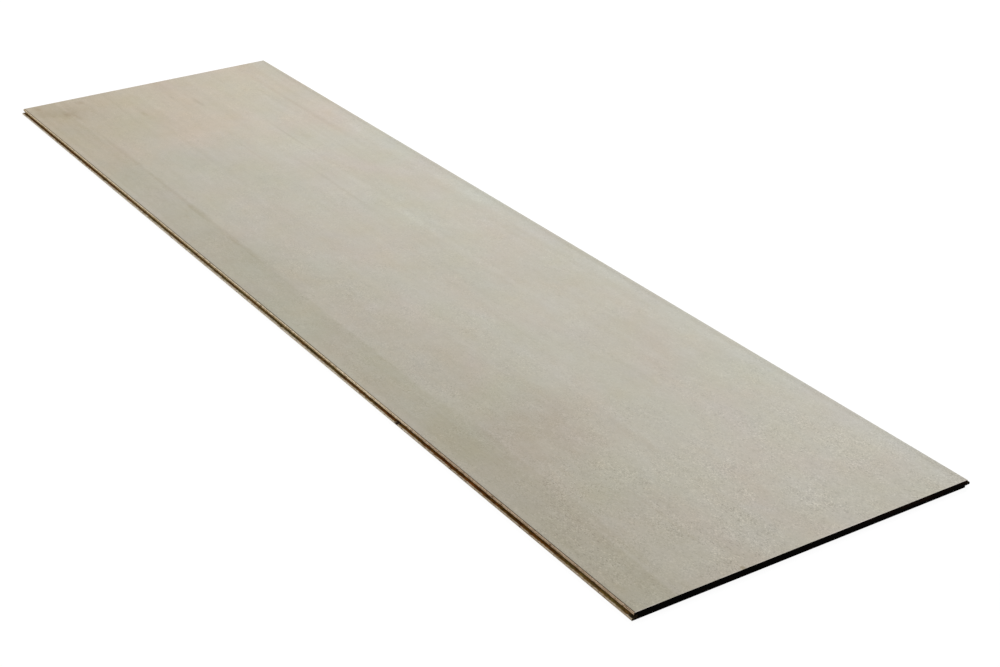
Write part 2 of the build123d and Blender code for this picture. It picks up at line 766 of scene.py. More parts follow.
class Canvas(Material):
    """Material of a piece of the panel, with the places that its finish goes by."""

    def __init__(self, panel: Panel, name: str, roughness: float, specular: float) -> None:
        """Start the material.

        Args:
            panel: What the finishes share.
            name: Name of the material.
            roughness: Roughness where nothing varies it.
            specular: Specular level, the same all over.
        """
        super().__init__(name, roughness, specular)
        self.panel, self.section = panel, panel.section
        self.place = self.outputs(self.add("TexCoord"))["Object"]
        self.x, y, self.z = self.split(self.place)
        self.along = y + panel.half_length

    def cloud(self, pattern: Pattern) -> Value:
        """Random pattern over the piece."""
        return self.noise(self.place, pattern)

    def along_step(self, low: float, high: float) -> Value:
        """Go from 0 to 1 between two distances from the near end."""
        return self.step(self.along, low, high)

    def across_step(self, start: float, low: float, high: float) -> Value:
        """Go from 0 to 1 between two distances across from a start, in millimetres."""
        return self.step(self.x, start + low * MM, start + high * MM)

    def up_step(self, start: float, low: float, high: float) -> Value:
        """Go from 0 to 1 between two heights over a start, in millimetres."""
        return self.step(self.z, start + low * MM, start + high * MM)

    def relief(self, height: Value, strength: float, distance: float) -> None:
        """Let a height from 0 to 1 roughen the look of the surface, a distance deep."""
        node = self.add("Bump", {"Strength": strength, "Distance": distance, "Height": height})
        self.set(Normal=Value(self, node.outputs[0]))


@dataclass(frozen=True)
class Mark:
    """One mark of the print that can be told apart, measured from the near groove corner."""

    across: float
    along: float
    half_width: float
    half_length: float
    light: float
    warm: float
    core: float = 0.1
    ragged: float = 0.5


@dataclass(frozen=True)
class PrintedConcrete:
    """Printed face: pale greige concrete with soft clouds, faint streaks and fine specks."""

    light: Colour = (0.638, 0.614, 0.560, 1.0)
    dark: Colour = (0.300, 0.263, 0.172, 1.0)
    pink: Colour = (1.026, 0.985, 1.000, 1.0)
    green: Colour = (0.976, 1.004, 0.975, 1.0)
    straw: Colour = (1.008, 1.000, 0.960, 1.0)
    blue: Colour = (0.992, 1.000, 1.040, 1.0)
    pit: Colour = (0.610, 0.600, 0.580, 1.0)
    crystal: Colour = (1.390, 1.400, 1.420, 1.0)
    ochre: Colour = (0.995, 0.895, 0.780, 1.0)
    near_bevel: Colour = (0.15, 0.11, 0.07, 1.0)
    far_bevel: Colour = (0.34, 0.29, 0.21, 1.0)
    arris: Colour = (1.000, 1.030, 1.075, 1.0)
    # Pale colour of the painted highlight along the near arris.
    worn: Colour = (0.780, 0.690, 0.640, 1.0)
    clouds: Pattern = Pattern(4.2, 3.0, 0.5, 0.6, (3.1, 1.7))
    blotches: Pattern = Pattern(17.0, 4.0, 0.6, 0.6, (0.3, 5.7), 0.3)
    streaks: Pattern = Pattern(52.0, 4.0, 0.65, 0.035, (7.0, 0.0))
    fibres: Pattern = Pattern(260.0, 3.0, 0.6, 0.14, (2.0, 0.0))
    mottle: Pattern = Pattern(75.0, 2.0, 0.6, 0.55, (6.0, 1.0))
    grain: Pattern = Pattern(330.0, 3.0, 0.72, 0.62)
    salt: Pattern = Pattern(700.0, 2.0, 0.6, 0.7, (4.0, 0.0))
    crowding: Pattern = Pattern(13.0, 2.0, 0.5, 0.6, (1.3, 8.1))
    calm: Pattern = Pattern(36.0, 2.0, 0.55, 0.7, (8.3, 4.1))
    warmth: Pattern = Pattern(7.5, 3.0, 0.42, 0.6, (9.0, 2.0), 0.5)
    cast: Pattern = Pattern(15.0, 3.0, 0.55, 0.7, (2.5, 7.3), 0.4)
    worms: Pattern = Pattern(55.0, 2.0, 0.5, 0.7, (5.5, 0.0), 1.5)
    broken: Pattern = Pattern(60.0, 2.0, 0.5, 0.7, (0.0, 3.3))
    yellow: Pattern = Pattern(19.0, 3.0, 0.7, 0.5, (2.0, 6.0))
    roughness: float = 0.58
    specular: float = 0.3
    cloud_share: float = 0.22
    blotch_share: float = 0.17
    streak_share: float = 0.17
    fibre_share: float = 0.10
    mottle_share: float = 0.11
    grain_share: float = 0.30
    near_salt: float = 1.00
    far_salt: float = 0.08
    groove_side_salt: float = 0.55
    speck_share: float = 0.28
    pale_worm: float = 0.17
    dark_worm: float = -0.15
    salt_fades: Pair = (0.08, 0.60)
    salt_ends: Pair = (1.75, 1.25)
    streaks_grow: Pair = (1.3, 2.3)
    ochre_grows: Pair = (1.75, 2.25)
    bevel_pales: Pair = (0.50, 0.75)
    bevel_slips: Pair = (0.75, 1.15)
    bevel_slip: float = 0.9 * MM
    marks: tuple[Mark, ...] = (
        # The first two marks darken the near-left part and the near end of the face: partly
        # print, partly painted shade of the darker near end.
        Mark(0.000, 0.30, 0.340, 1.70, -0.15, 0.00, 0.0, 0.25),
        Mark(0.310, 0.00, 0.900, 0.90, -0.060, 0.05, 0.1, 0.15),
        Mark(0.030, 1.20, 0.057, 2.30, -0.095, -0.30, 0.88, 0.06),
        Mark(0.006, 1.95, 0.014, 0.75, 0.070, 0.30, 0.3, 0.2),
        Mark(0.006, 0.60, 0.016, 0.62, 0.070, 0.15, 0.3, 0.2),
        Mark(0.007, 0.10, 0.012, 0.26, 0.040, 0.00, 0.3, 0.2),
        Mark(0.045, 2.12, 0.045, 0.22, 0.040, 0.00, 0.2, 0.3),
        Mark(0.003, 0.80, 0.007, 0.95, 0.050, 0.00, 0.3, 0.2),
        Mark(0.086, 1.78, 0.009, 0.75, -0.160, 0.10, 0.10, 0.60),
        Mark(0.088, 2.36, 0.014, 0.14, -0.070, 0.10, 0.10, 0.40),
        Mark(0.108, 1.78, 0.050, 0.24, -0.045, 0.00, 0.10, 0.50),
        Mark(0.087, 0.36, 0.012, 0.44, -0.080, -0.10, 0.30, 0.40),
        Mark(0.055, 0.68, 0.075, 0.17, 0.060, -0.10, 0.1, 0.5),
        Mark(0.470, 0.66, 0.200, 0.24, -0.080, 0.10, 0.1, 0.4),
        Mark(0.440, 2.05, 0.230, 0.75, 0.060, 0.15, 0.2, 0.3),
        Mark(0.230, 2.02, 0.170, 0.06, 0.045, 0.10, 0.1, 0.5),
        Mark(0.180, 0.20, 0.005, 0.26, -0.050, 0.10),
        Mark(0.284, 0.30, 0.014, 0.42, -0.045, 0.05),
        Mark(0.430, 1.35, 0.014, 0.70, 0.055, -0.05),
        Mark(0.542, 2.10, 0.010, 0.46, -0.085, 0.40),
        Mark(0.556, 2.20, 0.016, 0.22, 0.050, 0.10),
        Mark(0.435, 1.86, 0.004, 0.18, -0.090, 0.20, 0.3, 0.3),
        Mark(0.322, 1.86, 0.004, 0.17, -0.090, 0.20, 0.3, 0.3),
        Mark(0.385, 1.60, 0.005, 0.34, -0.050, 0.10, 0.2, 0.3),
        Mark(0.500, 1.75, 0.006, 0.30, -0.050, 0.20, 0.2, 0.3),
        Mark(0.585, 1.50, 0.018, 0.75, 0.042, 0.00, 0.3, 0.15),
        Mark(0.614, 1.21, 0.012, 2.60, -0.100, 0.00, 0.2, 0.10),
        Mark(0.610, 2.12, 0.012, 0.30, -0.050, 0.00, 0.3, 0.10),
        Mark(0.612, 0.03, 0.014, 0.12, -0.060, 0.00, 0.3, 0.10),
        Mark(0.185, 0.49, 0.140, 0.15, -0.095, 0.50, 0.0, 0.5),
        Mark(0.420, 2.02, 0.060, 0.10, 0.040, -0.20),
        Mark(0.090, 2.34, 0.070, 0.07, -0.100, 0.20, 0.1, 1.1),
        Mark(0.030, 2.36, 0.030, 0.05, -0.100, 0.10, 0.1, 0.9),
        Mark(0.074, 2.33, 0.014, 0.03, -0.160, 0.50, 0.1, 0.9),
        Mark(0.028, 2.395, 0.014, 0.03, -0.180, 0.60, 0.1, 0.7),
        Mark(0.125, 2.385, 0.014, 0.02, -0.110, 0.40, 0.1, 0.7),
        Mark(0.070, 0.06, 0.035, 0.06, -0.050, 0.50),
        Mark(0.221, 2.226, 0.009, 0.03, -0.130, 0.10),
        Mark(0.358, 2.23, 0.007, 0.05, -0.150, 0.10, 0.1, 0.7),
        Mark(0.420, 2.10, 0.012, 0.04, -0.080, 0.30, 0.1, 0.9),
        Mark(0.190, 0.003, 0.005, 0.007, -0.400, 0.50, 0.4, 0.1),
    )

    def _base(self, c: Canvas, clouds: Value, blotches: Value) -> tuple[Value, Value]:
        """Slow changes of the print: clouds, streaks, fibres and the single marks, the first two
        of which also hold painted shade.

        The tone is 0.5 plus the sum of (pattern - 0.5) * share, and each mark
        adds its own light and warmth to it.

        Args:
            c: The material.
            clouds: Widest pattern.
            blotches: Next pattern.

        Returns:
            Tone from dark to light, and hue from green to pink around 0.
        """
        streak_share = (c.along_step(*self.streaks_grow) * 0.5 + 0.9) * self.streak_share
        tone = 0.5
        for pattern, share in ((clouds, self.cloud_share), (blotches, self.blotch_share),
                               (c.cloud(self.streaks), streak_share),
                               (c.cloud(self.fibres), self.fibre_share),
                               (c.cloud(self.mottle), self.mottle_share)):
            tone = tone + (pattern - 0.5) * share
        hue = (c.cloud(self.warmth) - 0.5) * 4.0
        for mark in self.marks:
            patch = c.group(
                c.panel.effects.soft_patch, Vector=c.place,
                Middle_X=c.section.front_lip_x + mark.across,
                Middle_Y=mark.along - c.panel.half_length, Half_Width=mark.half_width,
                Half_Length=mark.half_length, Core=mark.core, Ragged=mark.ragged)["Mask"]
            tone, hue = tone + patch * mark.light, hue + patch * mark.warm
        return tone, hue

    def _fine(self, c: Canvas, grain: Value) -> tuple[Value, Value]:
        """Fine grain of the print, with its salt, specks and short curly lines.

        It thins out away from the near end, where the photo shows less of it.

        Args:
            c: The material.
            grain: Pattern of the grain.

        Returns:
            Brightness around 0.5, and the mask of the dark flecks.
        """
        away = c.along_step(*self.salt_fades)
        crowd = c.step(c.cloud(self.crowding), 0.38, 0.66) * 0.55 + 0.45
        beside = (c.across_step(c.section.front_lip_x, 420, 200) * away
                  * c.along_step(*self.salt_ends))
        salt_share = (away * (self.far_salt - self.near_salt) + self.near_salt
                      + beside * self.groove_side_salt) * (crowd * 0.9 + 0.35)
        fine = (grain - 0.5) * self.grain_share + (c.cloud(self.salt) - 0.5) * salt_share
        calm = c.step(c.cloud(self.calm), 0.40, 0.60) * 1.05 + 0.40
        crowd = crowd * (1.0 - away * 0.55)
        pale, fleck = (
            c.group(c.panel.effects.specks, Vector=c.stretch(c.place, scale, shift),
                    Spacing=spacing, Share=share, Radius=0.20, Soft=0.20)["Mask"]
            for scale, shift, spacing, share in (
                ((1.0, 0.6, 1.0), (0.0, 0.0, 0.0), 0.0038, 0.34),
                ((1.0, 0.5, 1.0), (4.0, 4.0, 0.0), 0.0036, 0.32)))
        worm = c.step(c.math("ABSOLUTE", c.cloud(self.worms) - 0.5), 0.034, 0.010)
        broken = c.cloud(self.broken)
        marks = ((pale - fleck) * self.speck_share
                 + worm * c.step(broken, 0.53, 0.58) * self.pale_worm
                 + worm * c.step(broken, 0.47, 0.42) * self.dark_worm)
        return fine * calm + marks * crowd + 0.5, fleck

    def _edges(self, c: Canvas, colour: Value, blotches: Value) -> Value:
        """Cut bevel, lighter arris on the tongue side and a painted highlight along the near
        edge.

        Args:
            c: The material.
            colour: Colour of the print.
            blotches: Pattern that breaks up the painted highlight on the near edge.

        Returns:
            The colour with its edges.
        """
        s = c.section
        slip = c.along_step(*self.bevel_slips) * self.bevel_slip
        inward = c.x - (s.front_lip_x + s.bevel_width) - slip
        on_bevel = (c.step(inward, 0.35 * MM, -0.20 * MM)
                    * c.step(inward, -1.8 * MM, -1.3 * MM))
        bevel = c.mix(c.along_step(*self.bevel_pales), self.near_bevel, self.far_bevel)
        colour = c.tint(colour, bevel, on_bevel)
        colour = c.tint(colour, self.arris, c.across_step(s.front_shoulder_x, -62, -8))
        # Painted highlight along the near arris of the face, in the pale worn colour.
        near_arris_highlight = c.along_step(1.8 * MM, 0.3 * MM) * c.step(blotches, 0.36, 0.60)
        return c.mix(near_arris_highlight * 0.8, colour, self.worn)

    def build(self, panel: Panel, name: str) -> bpy.types.Material:
        """Make the material of the printed face.

        Args:
            panel: What the finishes share.
            name: Name of the material.

        Returns:
            The material.
        """
        c = Canvas(panel, name, self.roughness, self.specular)
        clouds, blotches, grain = (
            c.cloud(pattern) for pattern in (self.clouds, self.blotches, self.grain))
        tone, hue = self._base(c, clouds, blotches)
        fine, fleck = self._fine(c, grain)
        cast = c.math("MULTIPLY_ADD", c.cloud(self.cast) - 0.5, 1.7, 0.5, clamp=True)
        colour = c.mix(tone, self.dark, self.light)
        colour = c.tint(colour, c.mix(fine, self.pit, self.crystal))
        colour = c.tint(colour, c.mix(cast, self.straw, self.blue))
        colour = c.tint(colour, self.pink, hue)
        colour = c.tint(colour, self.green, hue * -1.0)
        aged = c.step((clouds - 0.5) * 0.9 + c.along, *self.ochre_grows)
        yellow = c.step(c.cloud(self.yellow), 0.46, 0.66) * 0.14
        colour = c.tint(colour, self.ochre, aged * (c.x * -0.65 + 0.56) + yellow)
        c.set(Base_Color=self._edges(c, colour, blotches),
              Roughness=blotches * 0.12 + (self.roughness - 0.06))
        c.relief(grain - fleck * 0.5, 0.25, 0.4 * MM)
        return c.made


@dataclass(frozen=True)
class Chips:
    """Sizes of the pressed chips in one layer of the board, in metres."""

    length: float
    width: float
    height: float
    fines: float

    def place(self, c: Canvas) -> dict[str, Value]:
        """Chips of these sizes all over the piece."""
        return c.group(c.panel.effects.chips, Vector=c.place, Length=self.length,
                       Width=self.width, Height=self.height, Fines=self.fines)


CORE_CHIPS = Chips(10.0 * MM, 7.0 * MM, 1.1 * MM, 0.3)
SURFACE_CHIPS = Chips(3.5 * MM, 2.5 * MM, 0.5 * MM, 0.6)


@dataclass(frozen=True)
class BareChipboard:
    """Raw chipboard of the machined edges, the back and the far end."""

    pale: Colour = (0.800, 0.668, 0.480, 1.0)
    straw: Colour = (0.620, 0.495, 0.330, 1.0)
    # Groove colours: its darker core chips with painted shade inside.
    brown: Colour = (0.280, 0.190, 0.095, 1.0)
    pale_groove_core_and_shade: Colour = (0.375, 0.290, 0.108, 1.0)
    deep_groove_core_and_shade: Colour = (0.320, 0.158, 0.026, 1.0)
    olive: Colour = (0.900, 1.040, 1.050, 1.0)
    rust: Colour = (1.130, 0.930, 0.850, 1.0)
    # Painted shade and painted light on the side of the front lip, near and far.
    near_side_painted_shade: Colour = (0.900, 0.840, 0.860, 1.0)
    far_side_painted_light: Colour = (1.360, 1.400, 1.480, 1.0)
    # Painted shade on the outer side of the back lip.
    lip_side_painted_shade: Colour = (0.760, 0.720, 0.680, 1.0)
    # Pale lit top of the back lip: its pale chips with painted light.
    lip: Colour = (0.930, 0.835, 0.670, 1.0)
    lip_chip: Colour = (0.520, 0.420, 0.270, 1.0)
    # Painted shadow inside the nick.
    shadow: Colour = (0.030, 0.012, 0.004, 1.0)
    torn: Colour = (0.200, 0.120, 0.060, 1.0)
    # Near-black of the near end: partly sealer, partly painted shade.
    sealed_and_shaded: Colour = (0.030, 0.021, 0.010, 1.0)
    ragged: Pattern = Pattern(170.0, 3.0, 0.6, across=0.4, up=0.4)
    chipped: Pattern = Pattern(120.0, 3.0, 0.6, up=1.6)
    rusty: Pattern = Pattern(22.0, 3.0, 0.6)
    drift: Pattern = Pattern(420.0, 4.0, 0.7, 0.5)
    ragged_width: float = 5.0 * MM
    dark_reach: float = 18.0 * MM
    gap: float = 0.45
    # Along the panel, where painted light takes over from painted shade on the lip sides.
    painted_light_grows: Pair = (0.50, 0.75)
    # How much higher the painted groove shade reaches up the front lip farther along.
    groove_shade_climbs: Pair = (0.72, 1.0)
    groove_shade_climb: float = 2.0 * MM
    deep_starts: Pair = (0.16, 0.22)
    deep_ends: Pair = (0.90, 0.56)
    deep_again: Pair = (1.6, 2.1)
    lip_widens: Pair = (0.60, 1.15)
    lip_narrows: Pair = (1.8, 2.0)
    lip_cleans: Pair = (0.3, 0.9)
    roughness: float = 0.8
    specular: float = 0.1

    def _side(self, c: Canvas, colour: Value, ragged: Value, beyond: Value) -> Value:
        """Side of the front lip, with painted shade near the near end and painted light farther
        along, and a ragged band of painted groove shade over the groove.

        Args:
            c: The material.
            colour: Colour of the chips.
            ragged: Uneven border, in metres.
            beyond: 1 in the far part of the panel.

        Returns:
            The colour with the side.
        """
        s = c.section
        on_side = (c.up_step(s.groove_high_z, -0.1, 0.1)
                   * c.across_step(s.front_lip_x, 2.4, 2.0))
        # Painted shade on the lip side near the near end, painted light farther along.
        colour = c.tint(colour, c.mix(beyond, self.near_side_painted_shade, self.far_side_painted_light), on_side)
        # Painted shade of the groove, reaching raggedly up the lower side of the front lip.
        climb = c.along_step(*self.groove_shade_climbs) * self.groove_shade_climb
        above = c.z - ragged - s.groove_high_z - climb
        groove_shade_band = c.step(above, 1.6 * MM, 0.5 * MM)
        return c.tint(colour, self.pale_groove_core_and_shade, groove_shade_band * on_side * 0.8)

    def _groove(self, c: Canvas, colour: Value) -> tuple[Value, Value]:
        """Inside of the groove, painted darker and redder: partly its darker core chips, partly
        painted shade where little light gets in.

        Args:
            c: The material.
            colour: Colour of the chips.

        Returns:
            The colour with the groove, and the mask of the groove's inside.
        """
        s = c.section
        inside = (c.across_step(s.back_lip_x, 0.6, 2.2)
                  * c.across_step(s.groove_bottom_x, 1.0, 0.5)
                  * c.up_step(s.groove_low_z, -0.3, -0.1)
                  * c.up_step(s.groove_high_z, 0.1, -0.1))
        deep = c.math(
            "MAXIMUM", c.along_step(*self.deep_starts) * c.along_step(*self.deep_ends),
            c.along_step(*self.deep_again) * 0.7)
        # Painted shade inside the groove, over its darker core chips.
        groove = c.mix(deep, self.pale_groove_core_and_shade, self.deep_groove_core_and_shade)
        groove = c.tint(groove, c.cloud(self.chipped) * 2.4 - 0.2)
        rusty = c.step(c.cloud(self.rusty), 0.38, 0.62)
        groove = c.tint(groove, c.mix(rusty, self.olive, self.rust))
        return c.tint(colour, groove, inside), inside

    def _back_lip(self, c: Canvas, colour: Value, ragged: Value, beyond: Value,
                  tone: Value) -> Value:
        """Back lip, painted pale where the light falls on its top, partly its pale chips and
        partly painted light, with painted shade on its outer side.

        Args:
            c: The material.
            colour: Colour of the groove side.
            ragged: Uneven border, in metres.
            beyond: 1 in the far part of the panel.
            tone: Tone of the chips.

        Returns:
            The colour with the lip.
        """
        s = c.section
        wide = (c.along_step(*self.lip_widens)
                * (1.0 - c.along_step(*self.lip_narrows) * 0.7))
        # Painted light on the lit top of the back lip: a pale band whose width changes along the
        # panel.
        on_lip = c.step(c.x - ragged - s.back_lip_x, wide * (1.4 * MM) + 2.2 * MM,
                        wide * (1.1 * MM) + 0.9 * MM)
        chip = c.mix(c.step(tone, 0.10, 0.60), self.lip_chip, self.lip)
        clean = c.along_step(*self.lip_cleans) * 0.45 + 0.55
        colour = c.mix(on_lip * clean, colour, chip)
        # Painted shade on the outer side of the back lip, near the near end.
        outer_painted_shade = c.across_step(s.back_lip_x, 0.40, 0.15) * (1.0 - beyond)
        return c.tint(colour, self.lip_side_painted_shade, outer_painted_shade)

    def _sealed_and_shaded_end(self, c: Canvas, inside: Value) -> Value:
        """Mask of the near-black near end, partly sealer and partly painted shade, which reaches
        raggedly into the groove and onto the tongue.

        Args:
            c: The material.
            inside: Mask of the groove's inside.

        Returns:
            The mask.
        """
        reach = (c.cloud(self.drift) - 0.5) * self.dark_reach + c.along
        darkened = c.step(reach, self.dark_reach * 0.85, self.dark_reach * 0.40)
        on_tongue = c.across_step(c.section.back_shoulder_x, -1.0, -0.3)
        return c.math("MAXIMUM", c.along_step(0.8 * MM, 0.3 * MM),
                      darkened * c.math("MAXIMUM", inside, on_tongue))

    def build(self, panel: Panel, name: str) -> bpy.types.Material:
        """Make the material of the bare board.

        Args:
            panel: What the finishes share.
            name: Name of the material.

        Returns:
            The material.
        """
        c = Canvas(panel, name, self.roughness, self.specular)
        surface, core = SURFACE_CHIPS.place(c), CORE_CHIPS.place(c)
        from_middle = c.math("ABSOLUTE", c.z - c.section.thickness / 2)
        in_core = c.step(from_middle, 3.8 * MM, 2.6 * MM)
        tone, gaps = (c.mix(in_core, surface[label], core[label], kind="FLOAT")
                      for label in ("Tone", "Gap"))
        ragged = (c.cloud(self.ragged) - 0.5) * self.ragged_width
        beyond = c.along_step(*self.painted_light_grows)
        colour = c.mix(c.step(tone, 0.0, 0.45), self.brown, self.straw)
        colour = c.mix(c.step(tone, 0.4, 1.0), colour, self.pale)
        colour = self._side(c, colour, ragged, beyond)
        colour, inside = self._groove(c, colour)
        colour = self._back_lip(c, colour, ragged, beyond, tone)
        colour = c.tint(colour, self.brown, gaps * self.gap)
        colour = c.tint(colour, self.torn, c.attribute("torn"))
        # Near-black near end, reaching into the groove and onto the tongue: partly sealer, partly
        # painted shade.
        colour = c.mix(self._sealed_and_shaded_end(c, inside), colour, self.sealed_and_shaded)
        # Painted shadow in the groove at the nick.
        colour = c.mix(c.attribute("nick"), colour, self.shadow)
        c.set(Base_Color=colour)
        c.relief(tone - gaps, 0.5, 0.5 * MM)
        return c.made


@dataclass(frozen=True)
class DarkSealAndShade:
    """Near-black near end, partly dark sealer and partly painted shade, with the sawn chips
    showing through a little.
    """

    # Near-black of the end: partly dark sealer, partly painted shade.
    colour: Colour = (0.0008, 0.0005, 0.0004, 1.0)
    worn: Colour = (0.010, 0.005, 0.003, 1.0)
    paler_right_top_pattern: Pattern = Pattern(60.0, 3.0, 0.6, up=3.0)
    roughness: float = 0.7
    specular: float = 0.01

    def build(self, panel: Panel, name: str) -> bpy.types.Material:
        """Make the material of the dark end.

        Args:
            panel: What the finishes share.
            name: Name of the material.

        Returns:
            The material.
        """
        c = Canvas(panel, name, self.roughness, self.specular)
        chips = CORE_CHIPS.place(c)
        scuffs = c.group(c.panel.effects.specks, Vector=c.join(c.x * 0.5, c.z), Spacing=5.0 * MM,
                         Share=0.16, Radius=0.2, Soft=0.3)["Mask"]
        worn = c.math("MAXIMUM", c.step(chips["Tone"], 0.75, 1.0) * 0.35, scuffs * 0.5)
        # The end is paler towards the right and the top.
        paler_right_top = (c.step(c.cloud(self.paler_right_top_pattern), 0.40, 0.62) * c.across_step(0.0, 20, 260)
                 * c.up_step(0.0, 3.0, 9.0))
        worn = c.math("MAXIMUM", worn, paler_right_top)
        c.set(Base_Color=c.mix(worn, self.colour, self.worn),
              Roughness=worn * 0.25 + self.roughness)
        c.relief(chips["Bump"], 0.35, 0.4 * MM)
        return c.made


# ---------------------------------------------------------------------------
# Pieces
# ---------------------------------------------------------------------------


def dress(piece: bpy.types.Object, material: bpy.types.Material) -> bpy.types.Object:
    """Give a piece its material and the body that it rides on.

    Args:
        piece: The piece.
        material: Its material.

    Returns:
        The piece.
    """
    piece.data.materials.append(material)
    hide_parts(PANEL_NODE)
    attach(piece, BODY)
    LOG.info("%s: %d faces", piece.name, len(piece.data.polygons))
    return piece


@dataclass
class Board:
    """Bare board with its machined groove edge, tongue edge, back and ends."""

    panel: Panel
    finish: BareChipboard = field(default_factory=BareChipboard)
    film: float = 0.12 * MM
    film_reach: float = 0.45
    film_lap: float = 0.04
    arris_gap: float = 0.02 * MM
    end_gap: float = 0.10 * MM
    station_step: float = 2.2 * MM
    tongue_step: float = 1.2 * MM
    edge_step: float = 0.85 * MM
    cut_depth: float = 0.06 * MM
    cut_cell: Pair = (6.0 * MM, 0.9 * MM)
    fine_cell: Pair = (4.4 * MM, 0.9 * MM)
    torn_depth: float = 0.30 * MM
    torn_cell: Pair = (5.0 * MM, 1.3 * MM)
    torn_from: float = 0.80
    torn_fade: float = 0.12
    core_half: float = 3.2 * MM
    nick_y: float = -0.562
    nick_half: float = 4.0 * MM
    nick_depth: float = 1.2 * MM
    edge_room: float = 11.0
    tongue_room: float = 9.0
    hidden_room: float = 0.08
    sharp: float = 38.0
    seed: int = 5

    def ring(self) -> tuple[np.ndarray, np.ndarray, np.ndarray]:
        """Closed section of the board, how rough it is cut and its room on the bake map.

        Returns:
            Ring points (x, z), their relief weights from 0 to 1 and the width on
            the map of the side after each.
        """
        s = self.panel.section
        side_top = s.thickness - s.front_radius - self.arris_gap
        lip_top = s.thickness - s.bevel_depth
        shoulder, wall_top = s.front_shoulder_x, (s.front_shoulder_x, side_top)
        parts = [
            (s.bottom(), 0.0, 1.0),
            (s.tongue_side(self.tongue_step), 0.7, self.tongue_room),
            (straight((shoulder, s.tongue_high_z), wall_top, 5), 0.7, self.tongue_room),
            (np.array([wall_top]), 0.0, self.tongue_room),
            (s.face_line(self.film, 6, self.film_reach - self.film_lap), 0.0,
             self.hidden_room),
            (straight(s.bevel_point(self.film_reach), s.bevel_point(1.0), 3), 0.4,
             self.edge_room),
            (straight((s.front_lip_x, lip_top), (s.front_lip_x, s.groove_high_z), 6), 1.0,
             self.edge_room),
            (s.groove_side(self.edge_step), 1.0, self.edge_room),
        ]
        ring = np.concatenate([points for points, _, _ in parts])
        weight, share = (np.concatenate([np.full(len(part[0]), part[k]) for part in parts])
                         for k in (1, 2))
        return ring, weight, side_lengths(ring) * share

    def relief(self, ring: np.ndarray, weight: np.ndarray,
               stations: np.ndarray) -> tuple[np.ndarray, np.ndarray, np.ndarray]:
        """Depth of the cut chips below the nominal section.

        A fine random relief runs along the edge, and where a second one is
        high a chip is torn out. The nick is a smooth dip at one place.

        Args:
            ring: Section points.
            weight: Relief weight of each point.
            stations: Places along the panel.

        Returns:
            Depth at each station and point, the share torn out, and the mask of the painted
            shadow in the nick.
        """
        s, level = self.panel.section, ring[:, 1]
        y, around = np.meshgrid(stations + ALONG_SHIFT, distances(side_lengths(ring))[:-1],
                                indexing="ij")
        fine = lattice_noise(y, around, *self.cut_cell, self.seed)
        fine = 0.6 * fine + 0.4 * lattice_noise(y, around, *self.fine_cell, self.seed + 1)
        tear = lattice_noise(y, around, *self.torn_cell, self.seed + 2)
        torn = np.clip((tear - self.torn_from) / self.torn_fade, 0, 1)
        core = np.exp(-((level - s.thickness / 2) / self.core_half) ** 2)
        depth = self.cut_depth * fine + self.torn_depth * torn * (0.35 + 0.65 * core)
        nick = np.exp(-(((stations[:, None] - self.nick_y) / self.nick_half) ** 2))
        above_back = level > 0.5 * MM
        on_lip = (ring[:, 0] < s.front_lip_x) & above_back & (level < s.groove_high_z)
        in_groove = ((ring[:, 0] < s.groove_bottom_x + 0.1 * MM) & above_back
                     & (level < s.groove_high_z + 0.1 * MM))
        depth = depth * weight + self.nick_depth * nick * on_lip
        return depth, torn * weight, np.clip(nick * 1.6, 0, 1) * in_groove

    def build(self) -> bpy.types.Object:
        """Make the board and dress it.

        Returns:
            The board.
        """
        ring, weight, room = self.ring()
        half = self.panel.half_length
        near = self.end_gap - half
        stations = np.linspace(near, half, round((half - near) / self.station_step))
        depth, torn, nick = self.relief(ring, weight, stations)
        depth[[0, -1]] = 0.0
        piece = swept_object("board", swept_vertices(ring, stations, depth), self.sharp)
        add_bake_map(piece, folded_map(room, stations, ring))
        add_attribute(piece, "torn", torn)
        add_attribute(piece, "nick", nick)
        return dress(piece, self.finish.build(self.panel, "bare_chipboard"))


@dataclass
class PrintedFace:
    """Thin printed face, from the tongue edge to its cut edge on the bevel."""

    panel: Panel
    finish: PrintedConcrete = field(default_factory=PrintedConcrete)
    thickness: float = 0.24 * MM
    reach: float = 0.45
    near_gap: float = 0.05 * MM
    across: int = 110
    along: int = 400
    wave_depth: float = 0.05 * MM
    wide_wave: Pair = (0.16, 0.07)
    short_wave: Pair = (0.05, 0.03)
    still_border: int = 6
    rim_room: float = 6.0
    hidden_room: float = 0.02
    sharp: float = 30.0
    seed: int = 23

    def build(self) -> bpy.types.Object:
        """Make the face as a closed thin sheet, and dress it.

        The upper line runs from the arris to the bevel, and the lower line
        comes back a film's thickness under it with its ends drawn in.

        Returns:
            The printed face.
        """
        s, half = self.panel.section, self.panel.half_length
        upper = s.face_line(0.0, self.across, self.reach)
        ring = np.concatenate([upper, s.face_line(self.thickness, 8, self.reach)[::-1]])
        lines = len(upper)
        stations = np.linspace(self.near_gap - half, half, self.along)
        y, x = np.meshgrid(stations + ALONG_SHIFT, ring[:, 0] + ACROSS_SHIFT, indexing="ij")
        wave = lattice_noise(y, x, *self.wide_wave, self.seed)
        wave = 0.7 * wave + 0.3 * lattice_noise(y, x, *self.short_wave, self.seed + 1)
        top = np.zeros(len(ring))
        top[self.still_border:lines - self.still_border] = 1.0
        vertices = swept_vertices(ring, stations, self.wave_depth * wave * top)
        vertices[0, lines:, 1] += self.thickness
        vertices[-1, lines:, 1] -= self.thickness
        piece = swept_object("printed_face", vertices, self.sharp)
        share = np.full(len(ring), self.hidden_room)
        share[:lines] = self.rim_room
        share[s.arris_steps:s.arris_steps + self.across] = 1.0
        add_bake_map(piece, folded_map(side_lengths(ring) * share, stations, ring))
        return dress(piece, self.finish.build(self.panel, "printed_concrete"))


